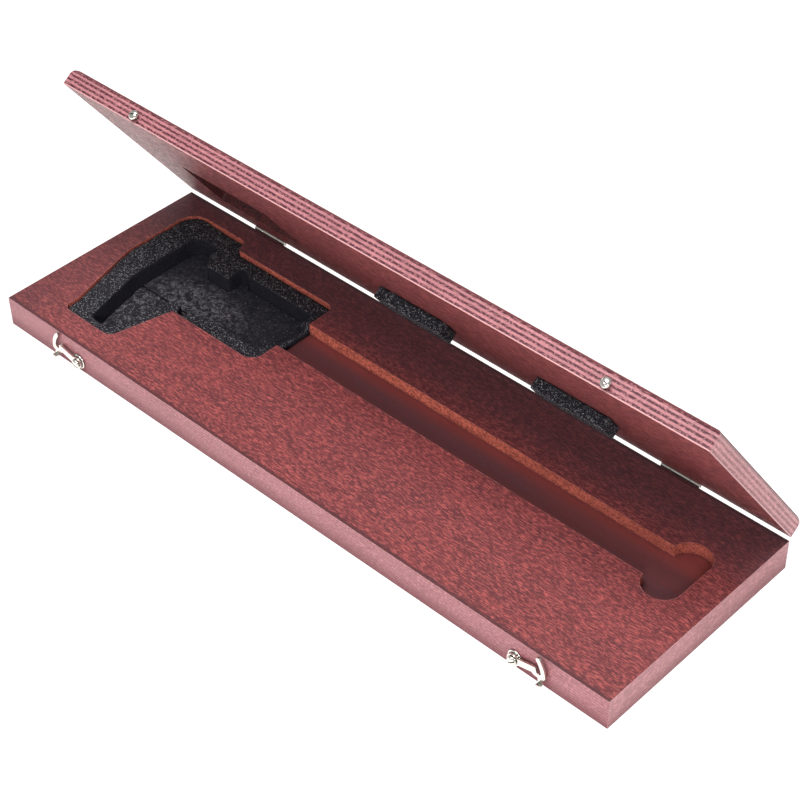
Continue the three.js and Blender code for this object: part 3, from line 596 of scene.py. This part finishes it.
# in the order of VENEER, SAWN, ROUTED, FLOOR, END and OUTER
CASE_FINISHES = [CASE_TOP, CASE_EDGE, CASE_ROUTED_WALL, CASE_ROUTED_FLOOR, CASE_END_LIT]
LID_FINISHES = [LID_FACE, LID_EDGE, LID_ROUTED_WALL_SHADED, LID_ROUTED_FLOOR, LID_END_LIT, LID_OUTER_FACE]
VENEER, SAWN, ROUTED, FLOOR, END, OUTER = range(6)
NEST_FOAM = foam_finish("nest_foam", case_space, 0.36, 0.2, 0.6)
NEST_SIDE = foam_finish("nest_foam_side", case_space, 0.04, 0.1, 0.5, wall=FOAM_SIDE)
HEAD_DUST_OVAL = ((BOARD_LOW.x + 74 * MM, BOARD_LOW.y + 80 * MM, 0), (42 * MM, 19 * MM, 1))
HEAD_FLOOR = foam_finish(
    "head_floor_foam", case_space, 0.12, 0.72, 0.2, wall=FOAM_SIDE, dust_oval=HEAD_DUST_OVAL
)
JAW_FLOOR = foam_finish("jaw_floor_foam", case_space, 0.14, 0.66, 0.2)
PAD_FOAM = foam_finish("lid_pad_foam", lid_space, 0.4, 0.2, 0.6)
PAD_FACE = foam_finish("lid_pad_face", lid_space, 0.7, 0.35, 1.0, wall=FOAM_SIDE)
CASE_NICKEL = nickel_finish("case_nickel", case_space)
LID_NICKEL = nickel_finish("lid_nickel", lid_space)
FRAYED = plain_finish("frayed_foam", FRAYED_TAN, 0.9)
CRUMB = plain_finish("foam_crumb", FOAM_SPARKLE, 0.7)


# ---------- meshes ----------
def link(mesh, name):
    made = bpy.data.objects.new(name, mesh)
    bpy.context.scene.collection.objects.link(made)
    return made


def merged_copy(node, name):
    """A CAD node's mesh as clean faces: doubles merged and flat triangles joined."""
    mesh = bpy.data.meshes.new(name)
    bm = bmesh.new()
    bm.from_mesh(frame["nodes"][node].data)
    bmesh.ops.remove_doubles(bm, verts=bm.verts, dist=MERGE_GAP)
    bmesh.ops.dissolve_limit(bm, angle_limit=FLAT_ANGLE, verts=bm.verts, edges=bm.edges)
    bmesh.ops.recalc_face_normals(bm, faces=bm.faces)
    bm.to_mesh(mesh)
    bm.free()
    return link(mesh, name)


def apply_modifiers(obj):
    """Replaces the object's mesh with its modified one and clears the modifiers."""
    evaluated = obj.evaluated_get(bpy.context.evaluated_depsgraph_get())
    mesh = bpy.data.meshes.new_from_object(evaluated)
    obj.modifiers.clear()
    obj.data = mesh
    return obj


def soften(obj, width, angle):
    """Rounds the edges that turn by more than angle a little, and keeps flat faces flat."""
    bevel = obj.modifiers.new("arris", "BEVEL")
    bevel.width, bevel.segments = width, 2
    bevel.limit_method, bevel.angle_limit = "ANGLE", radians(angle)
    bevel.use_clamp_overlap = True
    obj.data.shade_smooth()
    weighted = obj.modifiers.new("flat_faces", "WEIGHTED_NORMAL")
    weighted.keep_sharp = True
    return apply_modifiers(obj)


def paint(obj, finishes, choose):
    """Gives each face the finish whose number choose(centre, normal) returns."""
    obj.data.materials.clear()
    for finish in finishes:
        obj.data.materials.append(finish)
    for polygon in obj.data.polygons:
        polygon.material_index = choose(polygon.center, polygon.normal)


def finish_piece(obj, body, slot, *nodes):
    """Puts a finished piece on its body and in place of its CAD nodes. slot is not used."""
    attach(obj, body)
    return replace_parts(obj, *nodes) if nodes else obj


def corners_of(places):
    """The lowest and highest corners of the box round some places."""
    low = Vector(min(p[i] for p in places) for i in range(3))
    return low, Vector(max(p[i] for p in places) for i in range(3))


def board_finish(low, high):
    """Chooses the finish that a face of a flat board between two corners takes."""

    def choose(centre, normal):
        if abs(normal.z) > 0.75:
            on_face = min(centre.z - low.z, high.z - centre.z) < FACE_DEPTH
            return VENEER if on_face else FLOOR
        reach = min(centre.x - low.x, high.x - centre.x, centre.y - low.y, high.y - centre.y)
        if reach > EDGE_DEPTH:
            return ROUTED
        return END if abs(normal.x) > 0.75 else SAWN

    return choose


def make_base_board():
    board = soften(merged_copy("base_board", "case_board"), BOARD_ARRIS, 32)
    paint(board, CASE_FINISHES, board_finish(BOARD_LOW, BOARD_HIGH))
    finish_piece(board, "base", "stained_plywood", "base_board")


def make_lid_board():
    """The lid's board, whose finishes are chosen as if it lay shut."""
    board = soften(merged_copy("lid_board", "lid_board_finish"), BOARD_ARRIS, 32)
    to_shut = Matrix.Rotation(-LID_TILT, 4, "X") @ Matrix.Translation(-HINGE_PIN)
    choose = board_finish(*corners_of([to_shut @ v.co for v in board.data.vertices]))

    def choose_shut(centre, normal):
        normal = to_shut.to_3x3() @ normal
        finish = choose(to_shut @ centre, normal)
        return OUTER if finish == VENEER and normal.z > 0 else finish

    paint(board, LID_FINISHES, choose_shut)
    finish_piece(board, "lid", "stained_plywood", "lid_board")


def make_foam(node, name, finishes, body, voxel=FOAM_VOXEL, facing=UP, swell=0.0):
    """Cut foam: the CAD block remeshed fine, its edges eased and its faces a little ragged.
    swell lifts the top along the left wall, where the block is pressed in. The first finish goes
    on faces that look along facing (either way), the last one on the rest."""
    foam = merged_copy(node, name)
    low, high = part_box(node)
    remesh = foam.modifiers.new("cells", "REMESH")
    remesh.mode, remesh.voxel_size, remesh.adaptivity = "VOXEL", voxel, 0
    ease = foam.modifiers.new("ease", "SMOOTH")
    ease.factor, ease.iterations = 0.5, 2
    apply_modifiers(foam)
    normals = [v.normal.copy() for v in foam.data.vertices]
    for vertex, normal in zip(foam.data.vertices, normals):
        place = vertex.co + Vector((SEED, 0, 0)) * 0.1
        coarse = noise.noise(place / (4 * MM))
        fine = noise.noise(place / (1.3 * MM))
        moved = vertex.co + normal * FOAM_RAGGED * (0.6 * coarse + 0.7 * fine - 0.35)
        moved = Vector(min(max(moved[i], low[i]), high[i]) for i in range(3))
        if swell:
            run = min(max((moved.x - low.x) / SWELL_RUN, 0), 1)
            height = (moved.z - low.z) / (high.z - low.z)
            moved.z += swell * height**3 * (1 - run * run * (3 - 2 * run)) * (1 + 0.3 * coarse)
        vertex.co = moved
    foam.data.shade_smooth()
    rest = len(finishes) - 1
    paint(foam, finishes, lambda centre, normal: 0 if abs(normal.dot(facing)) > 0.6 else rest)
    return finish_piece(foam, body, "black_foam", node)


def make_fitting(node, body, finish, width):
    """A nickel fitting with its edges broken, as tumbled and plated metal has."""
    fitting = soften(merged_copy(node, f"{node}_plated"), width, 28)
    fitting.data.materials.clear()
    fitting.data.materials.append(finish)
    finish_piece(fitting, body, "bright_nickel", node)


# ---------- what repeats: foam crumbs and frayed fibres ----------
def new_scatter(name, inputs):
    """A Geometry Nodes tree with named inputs; returns it with its input and output sockets."""
    tree = bpy.data.node_groups.new(name, "GeometryNodeTree")
    tree.interface.new_socket("Geometry", in_out="INPUT", socket_type="NodeSocketGeometry")
    kinds = {float: "NodeSocketFloat", int: "NodeSocketInt"}
    for label, default in inputs.items():
        kind = kinds.get(type(default), "NodeSocketMaterial")
        socket = tree.interface.new_socket(label, in_out="INPUT", socket_type=kind)
        if type(default) in kinds:
            socket.default_value = default
    tree.interface.new_socket("Geometry", in_out="OUTPUT", socket_type="NodeSocketGeometry")
    return tree, tree.nodes.new("NodeGroupInput").outputs, tree.nodes.new("NodeGroupOutput").inputs


def turned_at_random(tree, seed):
    inputs = {0: (0.0, 0.0, 0.0), 1: (2 * pi, 2 * pi, 2 * pi), "Seed": seed}
    return add(tree, "FunctionNodeRandomValue", inputs, data_type="FLOAT_VECTOR").outputs[0]


def size_at_random(tree, seed, low, high):
    inputs = {2: low, 3: high, "Seed": seed}
    return add(tree, "FunctionNodeRandomValue", inputs, data_type="FLOAT").outputs[1]


def strew(tree, points, shape, size, seed):
    """A copy of the shape on each point, turned at random and from a third to all of the size."""
    size = maths(tree, "MULTIPLY", size_at_random(tree, seed, 0.35, 1.0), size)
    turn = turned_at_random(tree, seed)
    inputs = {"Points": points, "Instance": shape, "Rotation": turn, "Scale": size}
    return add(tree, "GeometryNodeInstanceOnPoints", inputs).outputs[0]


def finish_scatter(tree, geometry, material, out):
    solid = add(tree, "GeometryNodeRealizeInstances", {0: geometry}).outputs[0]
    inputs = {"Geometry": solid, "Material": material}
    tree.links.new(add(tree, "GeometryNodeSetMaterial", inputs).outputs[0], out[0])
    return tree


def crumb_scatter():
    """Torn flakes of foam, thrown over the upward cut faces of a block."""
    tree, given, out = new_scatter(
        "foam_crumbs",
        {"Per Square Metre": CRUMBS_ON_FLOOR, "Crumb Size": CRUMB_SIZE, "Seed": SEED, "Finish": None},
    )
    inputs = {"Mesh": given["Geometry"], "Density": given["Per Square Metre"], "Seed": given["Seed"]}
    points = add(tree, "GeometryNodeDistributePointsOnFaces", inputs).outputs["Points"]
    flake = add(tree, "GeometryNodeMeshIcoSphere", {"Radius": 1.0, "Subdivisions": 1}).outputs[0]
    squashed = add(tree, "GeometryNodeTransform", {"Geometry": flake, "Scale": (1, 0.6, 0.35)}).outputs[0]
    placed = strew(tree, points, squashed, given["Crumb Size"], given["Seed"])
    return finish_scatter(tree, placed, given["Finish"], out)


def fibre_scatter():
    """Short frayed fibres standing off a line, each a thin bent strand."""
    tree, given, out = new_scatter(
        "frayed_fibres",
        {
            "Spacing": FIBRE_SPACING, "Fibre Length": FIBRE_LENGTH, "Fibre Radius": FIBRE_RADIUS,
            "Seed": SEED, "Finish": None,
        },
    )
    line = add(tree, "GeometryNodeMeshToCurve", {0: given["Geometry"]}).outputs[0]
    inputs = {"Curve": line, "Length": given["Spacing"]}
    points = add(tree, "GeometryNodeCurveToPoints", inputs, mode="LENGTH").outputs["Points"]
    inputs = {"Start": (-0.5, 0, 0), "Middle": (0, 0.35, 0.2), "End": (0.5, 0, 0.1), "Resolution": 3}
    strand = add(tree, "GeometryNodeCurveQuadraticBezier", inputs).outputs[0]
    placed = strew(tree, points, strand, given["Fibre Length"], given["Seed"])
    curves = add(tree, "GeometryNodeRealizeInstances", {0: placed}).outputs[0]
    inputs = {"Resolution": 3, "Radius": given["Fibre Radius"]}
    ring = add(tree, "GeometryNodeCurvePrimitiveCircle", inputs).outputs[0]
    inputs = {"Curve": curves, "Profile Curve": ring, "Fill Caps": True}
    strands = add(tree, "GeometryNodeCurveToMesh", inputs).outputs[0]
    return finish_scatter(tree, strands, given["Finish"], out)


def run_tree(source, tree, name, **values):
    """Runs a tree on a mesh object and returns the result as a plain mesh piece."""
    modifier = source.modifiers.new("repeat", "NODES")
    modifier.node_group = tree
    for item in tree.interface.items_tree:
        label = item.name.replace(" ", "_")
        if item.in_out == "INPUT" and label in values:
            modifier[item.identifier] = values[label]
    evaluated = source.evaluated_get(bpy.context.evaluated_depsgraph_get())
    mesh = bpy.data.meshes.new_from_object(evaluated)
    source.modifiers.remove(modifier)
    mesh.shade_smooth()
    return link(mesh, name)


def upward_faces(obj, name, up):
    """A working copy of the faces of obj that look up, for crumbs to lie on."""
    mesh = obj.data.copy()
    bm = bmesh.new()
    bm.from_mesh(mesh)
    bmesh.ops.delete(bm, geom=[f for f in bm.faces if f.normal.dot(up) < 0.35], context="FACES")
    bm.to_mesh(mesh)
    bm.free()
    return link(mesh, name)


def scatter_crumbs(tree, foam, name, body, up, density, size=CRUMB_SIZE):
    """Strews crumbs of foam over the faces of a block that look up."""
    ground = upward_faces(foam, f"{name}_ground", up)
    crumbs = run_tree(
        ground, tree, name, Per_Square_Metre=density, Crumb_Size=size, Seed=SEED, Finish=CRUMB
    )
    bpy.data.objects.remove(ground)
    finish_piece(crumbs, body, "black_foam")


def lid_point(x, y, z):
    """A place on the shut lid, taken to where the lid stands."""
    return HINGE_PIN + Matrix.Rotation(LID_TILT, 3, "X") @ (Vector((x, y, z)) - HINGE_PIN)


def fray_pads(pads, tree):
    """A fringe of pale fibres round the outer rim of each lid pad."""
    to_shut = Matrix.Rotation(-LID_TILT, 3, "X")
    mesh = bpy.data.meshes.new("pad_rims")
    corners, edges = [], []
    for node in pads:
        vertices = frame["nodes"][node].data.vertices
        low, high = corners_of([HINGE_PIN + to_shut @ (v.co - HINGE_PIN) for v in vertices])
        inset, start = 0.5 * MM, len(corners)
        left, right, front, back = low.x + inset, high.x - inset, low.y + inset, high.y - inset
        for x, y in ((left, front), (right, front), (right, back), (left, back)):
            corners.append(lid_point(x, y, low.z + inset))
        edges += [(start + i, start + (i + 1) % 4) for i in range(4)]
    mesh.from_pydata(corners, edges, [])
    rims = link(mesh, "pad_rims")
    fringe = run_tree(
        rims, tree, "lid_pad_fringe", Spacing=FIBRE_SPACING, Fibre_Length=FIBRE_LENGTH,
        Fibre_Radius=FIBRE_RADIUS, Seed=SEED, Finish=FRAYED,
    )
    bpy.data.objects.remove(rims)
    finish_piece(fringe, "lid", "black_foam")


# ---------- the case ----------
make_base_board()
make_lid_board()
nest = make_foam(
    "foam_surround", "nest_foam_surround", [NEST_FOAM, NEST_SIDE], "base", SURROUND_VOXEL,
    swell=SWELL,
)
head_floor = make_foam("head_floor_foam", "nest_head_floor", [HEAD_FLOOR], "base")
make_foam("jaw_floor_foam", "nest_jaw_floor", [JAW_FLOOR], "base")
pad_upper_side = lid_point(0, -1, 0) - lid_point(0, 0, 0)
pad_press = lid_point(0, 0, -1) - lid_point(0, 0, 0)  # the way a pad presses when the lid is shut
pads = {
    side: make_foam(
        f"lid_pad_{side}", f"lid_pad_{side}_foam", [PAD_FACE, PAD_FOAM], "lid",
        facing=pad_press,
    )
    for side in ("left", "right")
}

for node, cad in frame["nodes"].items():
    kind = next((k for k in ("washer", "screw", "leaf", "pin", "hook") if k in node.split("_")), None)
    if kind and cad.data.vertices:
        body = cad["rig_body"]
        make_fitting(node, body, LID_NICKEL if body == "lid" else CASE_NICKEL, FITTING_EDGES[kind])

crumbs, fibres = crumb_scatter(), fibre_scatter()
scatter_crumbs(crumbs, nest, "nest_crumbs", "base", UP, CRUMBS_ON_NEST)
scatter_crumbs(crumbs, head_floor, "head_floor_crumbs", "base", UP, CRUMBS_ON_FLOOR, 0.22 * MM)
for side, pad in pads.items():
    scatter_crumbs(crumbs, pad, f"lid_pad_{side}_crumbs", "lid", pad_upper_side, CRUMBS_ON_PADS)
fray_pads(["lid_pad_left", "lid_pad_right"], fibres)


# ---------- floor, light and camera ----------
def make_floor():
    """A pale table that stays white right up to the case."""
    bpy.ops.mesh.primitive_plane_add(size=40, location=(0, 0, case_low.z - FLOOR_DROP))
    floor = bpy.context.object
    floor.name = "floor"
    material, tree, shader = new_finish(
        "floor_white", 0.9, Base_Color=FLOOR_WHITE, Emission_Color=WHITE, Emission_Strength=FLOOR_GLOW
    )
    glow = add(tree, "ShaderNodeEmission", {"Color": WHITE, "Strength": FLOOR_SEEN})
    seen = add(tree, "ShaderNodeLightPath").outputs["Is Camera Ray"]
    share = maths(tree, "MULTIPLY", seen, 0.9)
    mixed = add(tree, "ShaderNodeMixShader", {0: share, 1: shader.outputs[0], 2: glow.outputs[0]})
    output = next(n for n in tree.nodes if n.type == "OUTPUT_MATERIAL")
    tree.links.new(mixed.outputs[0], output.inputs["Surface"])
    floor.data.materials.append(material)


def make_softbox(name, place, size, power):
    """A round soft light aimed at the middle of the case's underside."""
    lamp = bpy.data.lights.new(name, "AREA")
    lamp.shape, lamp.size, lamp.energy = "DISK", size, power
    obj = bpy.data.objects.new(name, lamp)
    obj.location = place
    obj.rotation_euler = (-Vector(place)).to_track_quat("-Z", "Y").to_euler()
    bpy.context.scene.collection.objects.link(obj)


def make_surroundings():
    """White walls for the camera, and a softer grey room for the light they give."""
    world = bpy.data.worlds.new("studio")
    world.use_nodes = True
    tree = world.node_tree
    tree.nodes.clear()
    room = add(tree, "ShaderNodeBackground", {"Color": WHITE, "Strength": ROOM_LIGHT})
    backdrop = add(tree, "ShaderNodeBackground", {"Color": WHITE, "Strength": ROOM_SEEN})
    seen = add(tree, "ShaderNodeLightPath").outputs["Is Camera Ray"]
    mixed = add(tree, "ShaderNodeMixShader", {0: seen, 1: room.outputs[0], 2: backdrop.outputs[0]})
    add(tree, "ShaderNodeOutputWorld", {"Surface": mixed.outputs[0]})
    bpy.context.scene.world = world


def make_camera():
    """Looks down on the front right corner, with a very small roll."""
    camera = bpy.data.cameras.new("camera")
    camera.sensor_width, camera.lens = 36, CAMERA_LENS
    camera.clip_start, camera.clip_end = 0.05, 100
    obj = bpy.data.objects.new("camera", camera)
    across, upward = Vector(CAMERA_ACROSS).normalized(), Vector(CAMERA_UPWARD).normalized()
    away = across.cross(upward)
    upward = away.cross(across)
    turn = Matrix((across, upward, away)).transposed().to_4x4()
    obj.matrix_world = Matrix.Translation(CAMERA_PLACE) @ turn
    bpy.context.scene.collection.objects.link(obj)
    bpy.context.scene.camera = obj


make_floor()
make_surroundings()
make_softbox("overhead", (0.0, -0.25, 1.5), size=1.0, power=26)
make_softbox("key", (0.9, -1.35, 0.85), size=0.45, power=15)
make_camera()
bpy.context.scene.view_settings.view_transform = "Standard"
